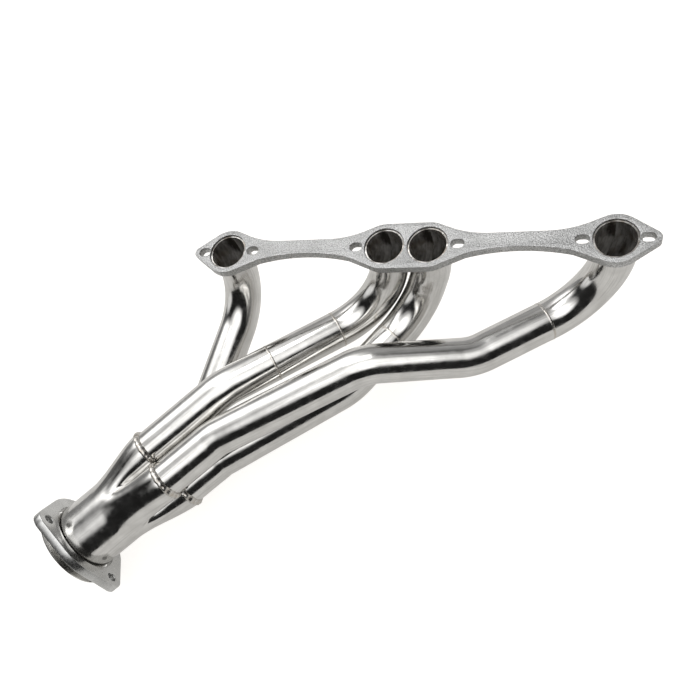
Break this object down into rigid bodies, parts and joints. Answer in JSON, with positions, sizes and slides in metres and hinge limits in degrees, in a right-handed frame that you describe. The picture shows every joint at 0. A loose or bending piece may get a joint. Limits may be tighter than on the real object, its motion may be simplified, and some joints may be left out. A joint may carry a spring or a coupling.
{
  "type": "exhaust manifold",
  "caption": "Tubular exhaust manifold: a head flange with round ports and slotted bolt holes, bent tubes merging into a collector, and a loose swivel flange.",
  "frame": {"origin": "centre of the head flange's port face, mid-way between the two middle ports", "axes": "+Z out of the port face towards the cylinder head, +X along the flange away from the collector, +Y across the flange, away from the side the collector is on"},
  "size_m": [0.6382, 0.3871, 0.1471],
  "materials": {
    "cast_plate": "satin stainless steel plate with a fine cast grain",
    "polished_tube": "mirror-polished stainless steel with a light straw tint near the welds",
    "weld": "rippled TIG weld bead, straw and gray heat tint",
    "ring_plate": "satin stainless steel plate, laser-cut edge"
  },
  "bodies": {
    "header": {"head_flange": "cast_plate", "tube_1": "polished_tube", "tube_2_port": "polished_tube", "tube_2_mid": "polished_tube", "tube_2_run": "polished_tube", "tube_3_port": "polished_tube", "tube_3_run": "polished_tube", "tube_4_port": "polished_tube", "tube_4_run": "polished_tube", "port_weld_1": "weld", "port_weld_2": "weld", "port_weld_3": "weld", "port_weld_4": "weld", "seam_weld_2a": "weld", "seam_weld_2b": "weld", "seam_weld_3": "weld", "seam_weld_4": "weld", "lobe_weld_1": "weld", "lobe_weld_2": "weld", "lobe_weld_3": "weld", "lobe_weld_4": "weld", "merge_plug": "weld", "collector_body": "polished_tube", "outlet_tube": "polished_tube", "outlet_flare": "polished_tube"},
    "collector_flange": {"swivel_flange": "ring_plate"}
  },
  "joints": [
    {"name": "flange_swivel", "type": "hinge", "parent": "header", "child": "collector_flange", "pos_m": [-0.35509, -0.30982, -0.09396], "axis": [-0.7403, -0.6666, -0.0872], "continuous": true}
  ]
}
